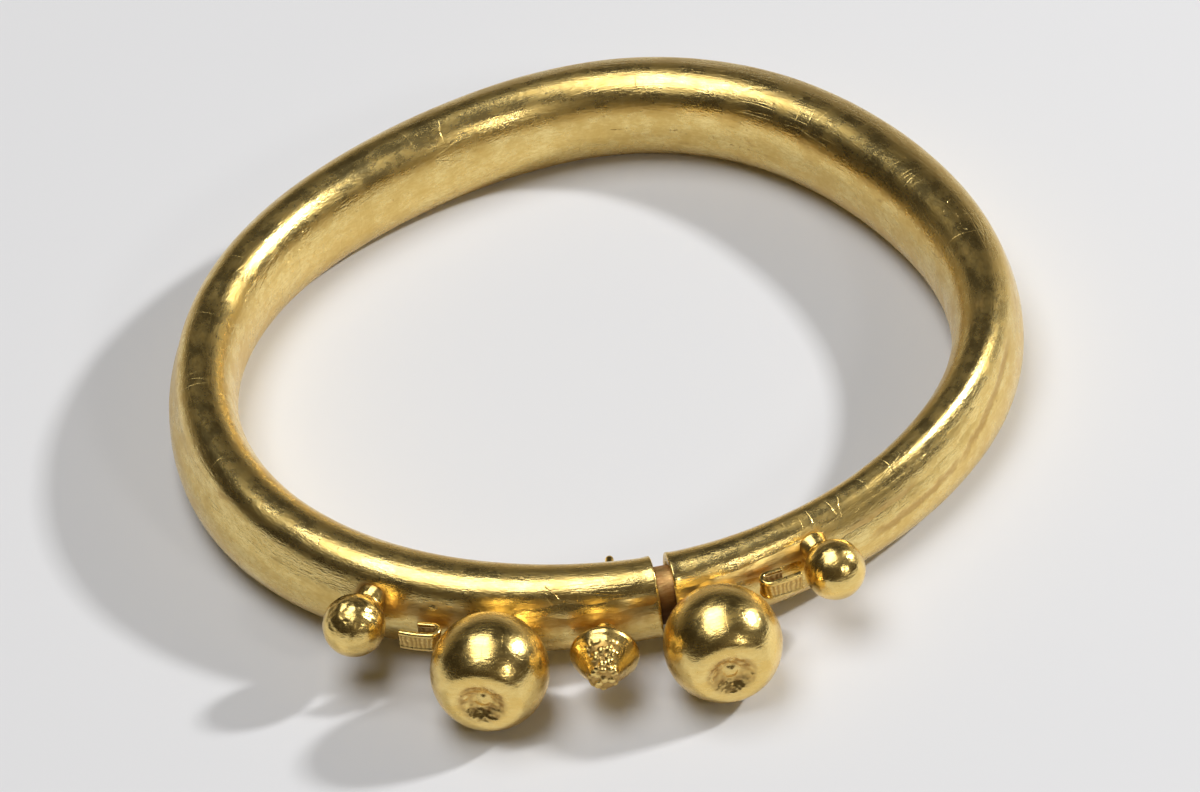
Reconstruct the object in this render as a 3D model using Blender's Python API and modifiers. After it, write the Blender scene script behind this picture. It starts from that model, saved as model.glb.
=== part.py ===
# Gold bracelet: a hollow tube bent into an open hoop. Its two ends meet over an inner sleeve
# that a pin locks, and bosses, balls and strip loops stand on the outside of both ends.
# It lies flat with the clasp towards -Y. Metres, +Z up, origin under the middle of the whole
# piece on the surface that it lies on. Directions are degrees from +X, turning towards +Y,
# seen from the middle of the hoop.

import math

import bpy
from mathutils import Vector

# Hoop
hoop_radius = 0.03648          # middle of the hoop to the middle of the tube, mean of all directions
tube_thickness = 0.0070        # mean size of the tube across, seen from above
tube_height = 0.0100           # upright size of the tube round the sides and back
end_height = 0.0075            # the same at the two ends
taper_reach = 85.0             # degrees of hoop over which an end grows to the full height
sheet_wall = 0.0007            # gold sheet that the tube is made of
section_squareness = 2.25      # 2 is an ellipse, more has flatter walls
wear_depth = 0.0001            # worn off the underside by lying

# How far the hand-bent hoop and its tube stray from even: number of waves round the hoop,
# height of a wave as a share of the mean size, and the direction of its first crest
hoop_waves = ((2, 0.030, 35.0), (3, 0.017, -38.0), (4, 0.010, -14.0), (5, 0.006, 2.0))
thickness_waves = ((1, 0.045, 80.0), (2, 0.120, 46.0), (3, 0.030, 10.0))

# Clasp
clasp_direction = -83.8        # middle of the gap between the two ends
clasp_gap = 0.0014
sleeve_length = 0.0190
sleeve_wall = 0.0006
sleeve_clearance = 0.00035     # between the sleeve and the inside of the tube
pin_direction = -92.0          # where the pin crosses the middle of the tube
pin_heading = -96.0            # the way its head points
pin_shaft_radius = 0.0004
pin_hole_clearance = 0.0003
pin_tip_reach = 0.0026         # how far the tip stands out of the tube's inner wall
head_radius = 0.0032           # at the ridge between the head's two cones
head_ridge_width = 0.0003
head_neck_radius = 0.0011
head_cone_length = 0.0028
head_end_radius = 0.00145
head_end_length = 0.0004

# Bosses: large balls with a dimple that faces outwards and a grain of gold in it
boss_radius = 0.00528
boss_sink = 0.00045            # how far a boss reaches past the line of the tube's wall
boss_left_direction = -106.4
boss_left_heading = -102.5
boss_right_direction = -79.0
boss_right_heading = -84.0
dimple_radius = 0.0021
dimple_depth = 0.0008
dimple_flatness = 1.7          # 1 is a cone, more has a flatter floor
dimple_rim_width = 0.0004
grain_radius = 0.00055
grain_height = 0.00045

# Balls: small ones on a short neck
ball_left_radius = 0.0029
ball_left_direction = -123.6
ball_left_rise = 0.0013        # above the middle of the tube
ball_right_radius = 0.0028
ball_right_direction = -62.0
ball_right_rise = 0.00145
ball_sink = 0.0003
neck_radius = 0.0013
neck_length = 0.0009           # from the ball's surface back into the tube's wall

# Strip loops: a strip on edge, folded into a U that opens away from the clasp
loop_left_direction = -114.5   # where the bend ends and the arms start
loop_left_rise = 0.0004
loop_right_direction = -70.6
loop_right_rise = 0.0017
strip_height = 0.0020
strip_thickness = 0.0005
slot_width = 0.0009            # between the two arms
outer_arm = 0.0027             # without the bend
inner_arm = 0.0014

# Between pieces that touch
fit_gap = 0.0003

# Cutters
ornament_reach = 60.0          # degrees each side of the clasp that hold everything on the tube
ground_width = 0.2
ground_depth = 0.001

# Small rounded ends: the flat left in the middle, as a share of the end's radius
end_flat = 0.7

# Fineness of the curved surfaces
hoop_rings = 64
sleeve_rings = 8
section_points = 18
turned_steps = 24
arc_steps = 9
bend_steps = 8
dimple_steps = 4
slope_step = 0.5               # degrees either way over which the hoop's own direction is taken
merge_distance = 0.00001
crease_angle = 40.0            # degrees from which an edge is shaded as a corner

gold_colour = (0.74, 0.50, 0.17)
red_gold_colour = (0.58, 0.31, 0.12)
hammered_roughness = 0.28
burnished_roughness = 0.22
dull_roughness = 0.4


def clear_scene():
    for item in list(bpy.data.objects):
        bpy.data.objects.remove(item, do_unlink=True)


def new_collection(name):
    collection = bpy.data.collections.new(name)
    bpy.context.scene.collection.children.link(collection)
    return collection


def gold_material(name, colour, roughness):
    material = bpy.data.materials.new(name)
    material.use_nodes = True
    shader = material.node_tree.nodes["Principled BSDF"]
    shader.inputs["Base Color"].default_value = (*colour, 1.0)
    shader.inputs["Metallic"].default_value = 1.0
    shader.inputs["Roughness"].default_value = roughness
    return material


def new_object(name, mesh, collection, frame):
    item = bpy.data.objects.new(name, mesh)
    collection.objects.link(item)
    item.parent = frame
    return item


def finish(item, colour, roughness):
    item.data.materials.append(gold_material(item.name + "_gold", colour, roughness))
    item.data.shade_smooth()
    item.data.set_sharp_from_angle(angle=math.radians(crease_angle))


# The tube's own geometry, which places everything that sits on it or in it

def strayed(direction, mean, waves):
    share = 0.0
    for count, part, crest in waves:
        share += part * math.cos(count * (direction - math.radians(crest)))
    return mean * (1.0 + share)


def tube_middle(direction):
    radius = strayed(direction, hoop_radius, hoop_waves)
    level = tube_height / 2 - wear_depth
    return Vector((radius * math.cos(direction), radius * math.sin(direction), level))


def tube_outward(direction):
    step = math.radians(slope_step)
    along = tube_middle(direction + step) - tube_middle(direction - step)
    return Vector((along.y, -along.x, 0.0)).normalized()


def half_thickness(direction):
    return strayed(direction, tube_thickness, thickness_waves) / 2


def half_height(direction):
    apart = direction - math.radians(clasp_direction)
    apart = abs((apart + math.pi) % (2 * math.pi) - math.pi)
    share = min(apart / math.radians(taper_reach), 1.0)
    share = share * share * (3 - 2 * share)
    return (end_height + (tube_height - end_height) * share) / 2


def section_point(direction, turn, grow):
    """A point of the tube's surface: turn is 0 on the outer side and a quarter turn on top."""
    power = 2 / section_squareness
    across = math.copysign(abs(math.cos(turn)) ** power, math.cos(turn))
    upward = math.copysign(abs(math.sin(turn)) ** power, math.sin(turn))
    point = tube_middle(direction)
    point += tube_outward(direction) * across * (half_thickness(direction) + grow)
    point.z += upward * (half_height(direction) + grow)
    return point


def wall_reach(direction, rise):
    """Distance from the middle of the tube to its outer wall, at a height above the middle."""
    share = min(abs(rise) / half_height(direction), 1.0)
    return half_thickness(direction) * (1 - share ** section_squareness) ** (1 / section_squareness)


def half_angle(length):
    """Half the angle that a length of tube takes up at the clasp, seen from the hoop's middle."""
    return length / 2 / tube_middle(math.radians(clasp_direction)).xy.length


def tube_loft(name, first, last, rings, grow, capped):
    """A length of the tube's surface, made larger or smaller all round by grow."""
    points = []
    for ring in range(rings + 1):
        direction = first + (last - first) * ring / rings
        for step in range(section_points):
            turn = 2 * math.pi * step / section_points - math.pi / 2
            points.append(section_point(direction, turn, grow))
    faces = []
    for near in range(0, rings * section_points, section_points):
        far = near + section_points
        for step in range(section_points):
            after = (step + 1) % section_points
            faces.append((near + step, far + step, far + after, near + after))
    if capped:
        first_of_last = rings * section_points
        faces.append(tuple(range(section_points)))
        faces.append(tuple(first_of_last + step for step in reversed(range(section_points))))
    mesh = bpy.data.meshes.new(name)
    mesh.from_pydata(points, [], faces)
    mesh.update()
    return mesh


# Ways of making a piece

def thicken(item, wall, offset):
    sheet = item.modifiers.new("sheet", "SOLIDIFY")
    sheet.thickness = wall
    sheet.offset = offset
    sheet.use_even_offset = True


def cut(item, cutter):
    opening = item.modifiers.new("cut_" + cutter.name, "BOOLEAN")
    opening.operation = "DIFFERENCE"
    opening.solver = "EXACT"
    opening.object = cutter


def arc(radius, start, end, steps):
    """Points of a circle round the origin, as (distance from the axis, height along it)."""
    points = []
    for step in range(steps + 1):
        angle = start + (end - start) * step / steps
        points.append((radius * math.sin(angle), radius * math.cos(angle)))
    return points


def turned(name, outline, collection, frame):
    """A profile spun round the object's own Z axis. It runs from the top of the axis to the bottom."""
    points = [(radius, 0.0, height) for radius, height in outline]
    edges = [(index, index + 1) for index in range(len(points) - 1)]
    mesh = bpy.data.meshes.new(name)
    mesh.from_pydata(points, edges, [])
    mesh.update()
    item = new_object(name, mesh, collection, frame)
    screw = item.modifiers.new("turned", "SCREW")
    screw.steps = turned_steps
    screw.render_steps = turned_steps
    screw.use_merge_vertices = True
    screw.merge_threshold = merge_distance
    screw.use_smooth_shade = True
    return item


def point_along(item, place, outward):
    item.location = place
    item.rotation_mode = "QUATERNION"
    item.rotation_quaternion = outward.to_track_quat("Z", "Y")


def heading_vector(degrees):
    heading = math.radians(degrees)
    return Vector((math.cos(heading), math.sin(heading), 0.0))


# The pieces

def make_hoop(collection, frame):
    first = math.radians(clasp_direction) + half_angle(clasp_gap)
    last = math.radians(clasp_direction) + 2 * math.pi - half_angle(clasp_gap)
    mesh = tube_loft("hoop", first, last, hoop_rings, 0.0, capped=False)
    hoop = new_object("hoop", mesh, collection, frame)
    finish(hoop, gold_colour, hammered_roughness)
    thicken(hoop, sheet_wall, -1.0)
    return hoop


def make_inner_sleeve(collection, frame):
    first = math.radians(clasp_direction) - half_angle(sleeve_length)
    last = math.radians(clasp_direction) + half_angle(sleeve_length)
    shrink = -(sheet_wall + sleeve_clearance)
    mesh = tube_loft("inner_sleeve", first, last, sleeve_rings, shrink, capped=False)
    sleeve = new_object("inner_sleeve", mesh, collection, frame)
    finish(sleeve, red_gold_colour, dull_roughness)
    thicken(sleeve, sleeve_wall, -1.0)
    return sleeve


def make_clasp_pin(collection, frame):
    """The pin's own Z runs out through its head. Its origin is the middle of the tube."""
    wall = half_thickness(math.radians(pin_direction))
    neck = wall + fit_gap
    ridge = neck + head_cone_length
    end = ridge + head_cone_length
    tip = -(wall + pin_tip_reach)
    outline = [(0.0, end + head_end_length), (head_end_radius * end_flat, end + head_end_length)]
    outline += [(head_end_radius, end + head_end_length / 2), (head_end_radius, end)]
    outline += [(head_radius, ridge + head_ridge_width / 2), (head_radius, ridge - head_ridge_width / 2)]
    outline += [(head_neck_radius, neck), (pin_shaft_radius, neck)]
    outline += [(pin_shaft_radius, tip + pin_shaft_radius), (pin_shaft_radius * end_flat, tip), (0.0, tip)]
    pin = turned("clasp_pin", outline, collection, frame)
    finish(pin, gold_colour, hammered_roughness)
    point_along(pin, tube_middle(math.radians(pin_direction)), heading_vector(pin_heading))
    return pin


def make_pin_hole(collection, frame, pin):
    radius = pin_shaft_radius + pin_hole_clearance
    reach = tube_thickness
    outline = [(0.0, reach), (radius, reach), (radius, -reach), (0.0, -reach)]
    cutter = turned("pin_hole", outline, collection, frame)
    cutter.location = pin.location
    cutter.rotation_mode = pin.rotation_mode
    cutter.rotation_quaternion = pin.rotation_quaternion
    return cutter


def make_boss(name, direction, heading, collection, frame):
    """A boss's own Z runs out through its dimple. Its underside is on the ground."""
    place_direction = math.radians(direction)
    rim_turn = math.asin(dimple_radius / boss_radius)
    floor = boss_radius * math.cos(rim_turn) - dimple_depth
    outline = [(0.0, floor + grain_height), (grain_radius * end_flat, floor + grain_height * end_flat)]
    for step in range(dimple_steps + 1):
        share = step / dimple_steps
        radius = grain_radius + (dimple_radius - grain_radius) * share
        outline.append((radius, floor + dimple_depth * share ** dimple_flatness))
    outline += arc(boss_radius, rim_turn + dimple_rim_width / boss_radius, math.pi, arc_steps)
    boss = turned(name, outline, collection, frame)
    finish(boss, gold_colour, burnished_roughness)
    rise = boss_radius - wear_depth - tube_middle(place_direction).z
    reach = wall_reach(place_direction, rise) + boss_radius - boss_sink
    place = tube_middle(place_direction) + tube_outward(place_direction) * reach
    place.z += rise
    point_along(boss, place, heading_vector(heading))
    return boss


def make_ball(name, direction, radius, rise, collection, frame):
    """A ball's own Z runs straight out from the tube, and its neck runs back into the wall."""
    place_direction = math.radians(direction)
    outward = tube_outward(place_direction)
    neck_turn = math.pi - math.asin(neck_radius / radius)
    neck_end = -(radius + neck_length)
    outline = arc(radius, 0.0, neck_turn, arc_steps) + [(neck_radius, neck_end), (0.0, neck_end)]
    ball = turned(name, outline, collection, frame)
    finish(ball, gold_colour, burnished_roughness)
    reach = wall_reach(place_direction, rise) + radius - ball_sink
    place = tube_middle(place_direction) + outward * reach
    place.z += rise
    point_along(ball, place, outward)
    return ball


def make_loop(name, direction, rise, away, collection, frame):
    """The strip's middle line: along the inner arm, round the bend and out along the outer arm.
    away is 1 where the arms run on with growing direction, and -1 where they run the other way."""
    place_direction = math.radians(direction)
    outward = tube_outward(place_direction)
    along = Vector((-outward.y, outward.x, 0.0)) * away
    bend_radius = (slot_width + strip_thickness) / 2
    inner_line = strip_thickness / 2
    line = [(inner_arm, inner_line)]
    for step in range(bend_steps + 1):
        turn = math.pi * step / bend_steps
        line.append((-bend_radius * math.sin(turn), inner_line + bend_radius * (1 - math.cos(turn))))
    line.append((outer_arm, inner_line + 2 * bend_radius))
    points = []
    for run, out in line:
        for height in (-strip_height / 2, strip_height / 2):
            points.append(along * run + outward * out + Vector((0, 0, height)))
    faces = []
    for near in range(0, 2 * len(line) - 2, 2):
        faces.append((near, near + 2, near + 3, near + 1))
    mesh = bpy.data.meshes.new(name)
    mesh.from_pydata(points, [], faces)
    mesh.update()
    loop = new_object(name, mesh, collection, frame)
    finish(loop, gold_colour, dull_roughness)
    thicken(loop, strip_thickness, 0.0)
    nearest = max(abs(rise) - strip_height / 2, 0.0)
    reach = wall_reach(place_direction, nearest) + fit_gap
    loop.location = tube_middle(place_direction) + outward * reach + Vector((0, 0, rise))
    return loop


def make_tube_space(collection, frame):
    """The room that the tube takes up at the clasp, with the gap that touching pieces keep."""
    first = math.radians(clasp_direction - ornament_reach)
    last = math.radians(clasp_direction + ornament_reach)
    mesh = tube_loft("tube_space", first, last, hoop_rings // 2, fit_gap, capped=True)
    return new_object("tube_space", mesh, collection, frame)


def make_ground(collection, frame):
    bpy.ops.mesh.primitive_cube_add(size=1.0)
    ground = bpy.context.object
    ground.name = "ground"
    for other in list(ground.users_collection):
        other.objects.unlink(ground)
    collection.objects.link(ground)
    ground.parent = frame
    ground.scale = (ground_width, ground_width, ground_depth)
    ground.location.z = -ground_depth / 2
    return ground


def centre_on_origin(frame, pieces):
    bpy.context.view_layer.update()
    depsgraph = bpy.context.evaluated_depsgraph_get()
    corners = []
    for piece in pieces:
        shape = piece.evaluated_get(depsgraph)
        corners += [shape.matrix_world @ vertex.co for vertex in shape.data.vertices]
    for axis in range(2):
        reach = [corner[axis] for corner in corners]
        frame.location[axis] = -(min(reach) + max(reach)) / 2


def main():
    clear_scene()
    bracelet = new_collection("bracelet")
    cutters = new_collection("cutters")
    frame = bpy.data.objects.new("hoop_middle", None)
    bracelet.objects.link(frame)

    hoop = make_hoop(bracelet, frame)
    sleeve = make_inner_sleeve(bracelet, frame)
    pin = make_clasp_pin(bracelet, frame)
    bosses = [make_boss("boss_left", boss_left_direction, boss_left_heading, bracelet, frame),
              make_boss("boss_right", boss_right_direction, boss_right_heading, bracelet, frame)]
    balls = [make_ball("ball_left", ball_left_direction, ball_left_radius, ball_left_rise,
                       bracelet, frame),
             make_ball("ball_right", ball_right_direction, ball_right_radius, ball_right_rise,
                       bracelet, frame)]
    loops = [make_loop("loop_left", loop_left_direction, loop_left_rise, -1, bracelet, frame),
             make_loop("loop_right", loop_right_direction, loop_right_rise, 1, bracelet, frame)]

    pin_hole = make_pin_hole(cutters, frame, pin)
    tube_space = make_tube_space(cutters, frame)
    ground = make_ground(cutters, frame)
    for cutter in (pin_hole, tube_space, ground):
        cutter.display_type = "WIRE"
        cutter.hide_render = True
    cut(hoop, pin_hole)
    cut(sleeve, pin_hole)
    for piece in bosses + balls:
        cut(piece, tube_space)
    for piece in [hoop] + bosses:
        cut(piece, ground)

    centre_on_origin(frame, [hoop, sleeve, pin] + bosses + balls + loops)


main()
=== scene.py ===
# A gold bracelet of bent tube, lying on a pale table with its clasp towards the camera.
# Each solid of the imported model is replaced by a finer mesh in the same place.
import math

import bmesh
import bpy
import numpy as np
from mathutils import Matrix, Vector, noise
from mathutils.bvhtree import BVHTree


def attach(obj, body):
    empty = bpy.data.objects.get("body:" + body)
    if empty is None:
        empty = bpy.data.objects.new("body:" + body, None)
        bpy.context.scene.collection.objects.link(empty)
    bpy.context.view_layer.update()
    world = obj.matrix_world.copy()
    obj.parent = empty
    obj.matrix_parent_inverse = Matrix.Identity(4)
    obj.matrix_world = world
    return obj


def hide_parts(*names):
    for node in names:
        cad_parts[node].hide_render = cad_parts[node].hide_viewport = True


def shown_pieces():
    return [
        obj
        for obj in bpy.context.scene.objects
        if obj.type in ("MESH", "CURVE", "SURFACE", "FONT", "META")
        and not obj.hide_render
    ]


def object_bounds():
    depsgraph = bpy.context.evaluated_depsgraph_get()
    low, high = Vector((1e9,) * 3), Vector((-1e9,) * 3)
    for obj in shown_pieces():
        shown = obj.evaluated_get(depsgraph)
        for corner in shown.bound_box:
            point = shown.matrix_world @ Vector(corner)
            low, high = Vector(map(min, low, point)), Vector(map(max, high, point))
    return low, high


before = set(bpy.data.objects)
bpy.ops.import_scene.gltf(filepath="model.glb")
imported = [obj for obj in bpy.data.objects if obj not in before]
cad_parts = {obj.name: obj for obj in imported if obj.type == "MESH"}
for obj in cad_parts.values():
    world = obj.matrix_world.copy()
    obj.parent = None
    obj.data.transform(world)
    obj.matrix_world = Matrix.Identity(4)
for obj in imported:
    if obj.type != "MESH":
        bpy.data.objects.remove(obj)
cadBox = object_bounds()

mm = 0.001
up = np.array((0.0, 0.0, 1.0))

# The bent tube: its line, size and section, as in the solids
tube = {
    "middle": (-0.0306 * mm, 3.7661 * mm),   # middle of the hoop on the table
    "hoopRadius": 36.48 * mm,
    "hoopWaves": ((2, 0.030, 35.0), (3, 0.017, -38.0), (4, 0.010, -14.0), (5, 0.006, 2.0)),
    "thickness": 7.0 * mm,
    "thicknessWaves": ((1, 0.045, 80.0), (2, 0.120, 46.0), (3, 0.030, 10.0)),
    "height": 10.0 * mm,
    "endHeight": 7.5 * mm,
    "taperReach": 85.0,       # degrees of hoop over which an end grows to the full height
    "squareness": 2.25,
    "wornOff": 0.1 * mm,
    "clasp": -83.8,           # direction of the gap, degrees
    "level": 4.9 * mm,        # middle of the tube above the table
}


def strayed(direction, mean, waves):
    share = 0.0
    for count, part, crest in waves:
        share = share + part * np.cos(count * (direction - math.radians(crest)))
    return mean * (1 + share)


def tubeMiddle(direction):
    radius = strayed(direction, tube["hoopRadius"], tube["hoopWaves"])
    return np.stack((tube["middle"][0] + radius * np.cos(direction),
                     tube["middle"][1] + radius * np.sin(direction),
                     0 * radius + tube["level"]), -1)


def tubeOutward(direction):
    step = math.radians(0.5)
    along = tubeMiddle(direction + step) - tubeMiddle(direction - step)
    outward = np.stack((along[..., 1], -along[..., 0], 0 * along[..., 0]), -1)
    return outward / np.linalg.norm(outward, axis=-1, keepdims=True)


def tubeHalves(direction):
    across = strayed(direction, tube["thickness"], tube["thicknessWaves"]) / 2
    apart = np.abs((direction - math.radians(tube["clasp"]) + math.pi) % (2 * math.pi) - math.pi)
    share = np.minimum(apart / math.radians(tube["taperReach"]), 1.0)
    share = share * share * (3 - 2 * share)
    return across, (tube["endHeight"] + (tube["height"] - tube["endHeight"]) * share) / 2


# A point of the tube's surface: turn is 0 on the outer side and a quarter turn on top
def tubePoint(direction, turn, grow):
    power = 2 / tube["squareness"]
    across = np.sign(np.cos(turn)) * np.abs(np.cos(turn)) ** power
    upward = np.sign(np.sin(turn)) * np.abs(np.sin(turn)) ** power
    halfAcross, halfUp = tubeHalves(direction)
    return (tubeMiddle(direction) + tubeOutward(direction) * (across * (halfAcross + grow))[..., None]
            + up * (upward * (halfUp + grow))[..., None])


# Distance from the middle of the tube to its outer wall, at a height above the middle
def wallReach(direction, rise):
    halfAcross, halfUp = tubeHalves(direction)
    share = min(abs(rise) / float(halfUp), 1.0)
    return float(halfAcross) * (1 - share ** tube["squareness"]) ** (1 / tube["squareness"])


# How far points are outside the tube's wall, about right near the wall
def outsideTube(points):
    flat = points[:, :2] - np.array(tube["middle"])
    direction = np.arctan2(flat[:, 1], flat[:, 0])
    apart = points - tubeMiddle(direction)
    across = (apart * tubeOutward(direction)).sum(1)
    halfAcross, halfUp = tubeHalves(direction)
    square = tube["squareness"]
    ratio = (np.abs(across / halfAcross) ** square + np.abs(apart[:, 2] / halfUp) ** square) ** (1 / square)
    reach = np.hypot(across, apart[:, 2])
    return reach * (1 - 1 / np.maximum(ratio, 1e-6))


def noiseAt(places, size, seed):
    shift = Vector((seed * 13.7, seed * 7.3, seed * 3.1))
    flat = (places / size).reshape(-1, 3)
    values = np.array([noise.noise(Vector(place) + shift) for place in flat.tolist()])
    return values.reshape(places.shape[:-1])


def smoothStep(value, low, high):
    share = np.clip((value - low) / (high - low), 0, 1)
    return share * share * (3 - 2 * share)


def softMin(first, second, softness):
    share = np.clip(0.5 + (second - first) / (2 * softness), 0, 1)
    return second + (first - second) * share - softness * share * (1 - share)


def softMax(first, second, softness):
    return -softMin(-first, -second, softness)


# Quads between the rows of a grid whose rows are closed rings
def ringFaces(rows, count, closed):
    faces = []
    for row in range(rows if closed else rows - 1):
        near = row * count
        far = (row + 1) % rows * count
        for step in range(count):
            after = (step + 1) % count
            faces.append((near + step, near + after, far + after, far + step))
    return faces


def gridNormals(grid):
    along = np.gradient(grid, axis=0)
    around = np.roll(grid, -1, axis=1) - np.roll(grid, 1, axis=1)
    normals = np.cross(around, along)
    return normals / np.maximum(np.linalg.norm(normals, axis=-1, keepdims=True), 1e-12)


ownShadeAndDirt = {}   # painted shade that a piece has in its own hollows, grooves and gaps, with some real dirt in the bosses' dimples


def newPiece(name, points, faces, places, material, node):
    mesh = bpy.data.meshes.new(name)
    mesh.from_pydata(np.asarray(points).tolist(), [], faces)
    place = mesh.attributes.new("place", "FLOAT_VECTOR", "POINT")
    place.data.foreach_set("vector", np.asarray(places, dtype=np.float32).ravel())
    work = bmesh.new()
    work.from_mesh(mesh)
    bmesh.ops.recalc_face_normals(work, faces=work.faces)
    work.to_mesh(mesh)
    work.free()
    mesh.materials.append(material)
    mesh.shade_smooth()
    piece = bpy.data.objects.new(name, mesh)
    bpy.context.scene.collection.objects.link(piece)
    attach(piece, "root")
    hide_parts(node)
    print("made", name, len(mesh.polygons), "faces")
    return piece


# Materials: three golds from shared node groups. Every piece carries a "place" in metres, which
# runs along the tube on the hoop, and a mask of painted shade that grows where two pieces meet and in its own
# hollows, grooves and gaps, with some real dirt in the bosses' dimples
def newGroup(name, inputs, outputs):
    group = bpy.data.node_groups.new(name, "ShaderNodeTree")
    for socketName, kind, value in inputs:
        socket = group.interface.new_socket(socketName, in_out="INPUT", socket_type="NodeSocket" + kind)
        if value is not None:
            socket.default_value = value
    for socketName, kind in outputs:
        group.interface.new_socket(socketName, in_out="OUTPUT", socket_type="NodeSocket" + kind)
    return group, addNode(group, "NodeGroupInput"), addNode(group, "NodeGroupOutput")


def addNode(tree, kind, **settings):
    node = tree.nodes.new(kind)
    for key, value in settings.items():
        setattr(node, key, value)
    return node


# Puts a value or another node's output into an input
def feed(tree, target, source):
    if isinstance(source, bpy.types.NodeSocket):
        tree.links.new(source, target)
    else:
        target.default_value = source


def addMath(tree, operation, first, second=None, third=None):
    node = addNode(tree, "ShaderNodeMath", operation=operation)
    for target, source in zip(node.inputs, (first, second, third)):
        if source is not None:
            feed(tree, target, source)
    return node.outputs[0]


def addVectorMath(tree, operation, first, second, output):
    node = addNode(tree, "ShaderNodeVectorMath", operation=operation)
    feed(tree, node.inputs[0], first)
    if second is not None:
        feed(tree, node.inputs[1], second)
    return node.outputs[output]


def addRamp(tree, value, low, high, fromValue=0.0, toValue=1.0):
    node = addNode(tree, "ShaderNodeMapRange", interpolation_type="SMOOTHSTEP")
    for socketName, source in (("Value", value), ("From Min", low), ("From Max", high),
                               ("To Min", fromValue), ("To Max", toValue)):
        feed(tree, node.inputs[socketName], source)
    return node.outputs["Result"]


def addNoise(tree, vector, scale, detail=2.0, roughness=0.5):
    node = addNode(tree, "ShaderNodeTexNoise")
    feed(tree, node.inputs["Vector"], vector)
    feed(tree, node.inputs["Scale"], scale)
    node.inputs["Detail"].default_value = detail
    node.inputs["Roughness"].default_value = roughness
    return node.outputs["Fac"]


# The place with its length along the tube squeezed, so that marks run long that way
def addStretched(tree, vector, stretch, turn=0.0):
    node = addNode(tree, "ShaderNodeMapping")
    feed(tree, node.inputs["Vector"], vector)
    node.inputs["Rotation"].default_value = (0.0, 0.0, turn)
    node.inputs["Scale"].default_value = stretch
    return node.outputs["Vector"]


# Fine lines that a burnisher and wear leave: contour lines of a stretched noise, broken up
scratchLook = {
    "ways": (((0.12, 1.0, 1.0), 0.2), ((1.0, 0.16, 0.2), 0.5), ((0.2, 0.8, 1.0), -0.7)),   # stretch and turn
    "width": 0.012, "breakSize": 0.35, "breaks": (0.62, 0.5),
}


def makeScratchGroup():
    group, given, result = newGroup("hairScratches", (("Place", "Vector", None), ("Size", "Float", 600.0)),
                                    (("Height", "Float"),))
    total = None
    for stretch, turn in scratchLook["ways"]:
        lines = addNoise(group, addStretched(group, given.outputs["Place"], stretch, turn),
                         given.outputs["Size"], 1.0)
        lines = addMath(group, "ABSOLUTE", addMath(group, "SUBTRACT", lines, 0.5))
        lines = addRamp(group, lines, 0.0, scratchLook["width"])
        broken = addNoise(group, given.outputs["Place"],
                          addMath(group, "MULTIPLY", given.outputs["Size"], scratchLook["breakSize"]))
        lines = addMath(group, "MAXIMUM", lines, addRamp(group, broken, *scratchLook["breaks"]))
        total = lines if total is None else addMath(group, "MULTIPLY", total, lines)
    group.links.new(total, result.inputs["Height"])
    return group


# The unevenness of hammered and burnished sheet, long along the tube, with brown stain and dull blotches.
# These two have their stretch along the tube, their size beside the sheet's, and where they set in
sheetLook = {
    "hammer": 0.25, "stain": (0.35, 0.8, (0.56, 0.72)), "blotches": (0.6, 0.5, (0.25, 0.75)),
}


def makeHammerGroup():
    group, given, result = newGroup("burnishedSheet", (("Place", "Vector", None), ("Size", "Float", 500.0)),
                                    (("Height", "Float"), ("Blotches", "Float"), ("Stain", "Float")))
    long = addStretched(group, given.outputs["Place"], (sheetLook["hammer"], 1.0, 1.0))
    group.links.new(addNoise(group, long, given.outputs["Size"], 4.0, 0.6), result.inputs["Height"])
    for name, output, detail, roughness in (("stain", "Stain", 8.0, 0.75), ("blotches", "Blotches", 7.0, 0.7)):
        stretch, share, setsIn = sheetLook[name]
        marks = addNoise(group, addStretched(group, given.outputs["Place"], (stretch, 1.0, 1.0)),
                         addMath(group, "MULTIPLY", given.outputs["Size"], share), detail, roughness)
        group.links.new(addRamp(group, marks, *setsIn), result.inputs[output])
    return group


# The fine satin grain of old gold, with small bright and dark specks in it
def makeGrainGroup():
    group, given, result = newGroup("satinGrain", (("Place", "Vector", None), ("Size", "Float", 5000.0)),
                                    (("Height", "Float"), ("Specks", "Float")))
    long = addStretched(group, given.outputs["Place"], (0.28, 1.0, 1.0), 0.12)
    height = addNoise(group, long, given.outputs["Size"], 2.0, 0.6)
    group.links.new(height, result.inputs["Height"])
    group.links.new(addRamp(group, height, 0.62, 0.36), result.inputs["Specks"])
    return group


# One worn line, crack or strip of painted shade: Middle and Way say where it runs, Reach is half its length
lineWander = {"size": 900.0, "reach": 0.8 * mm}


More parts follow.
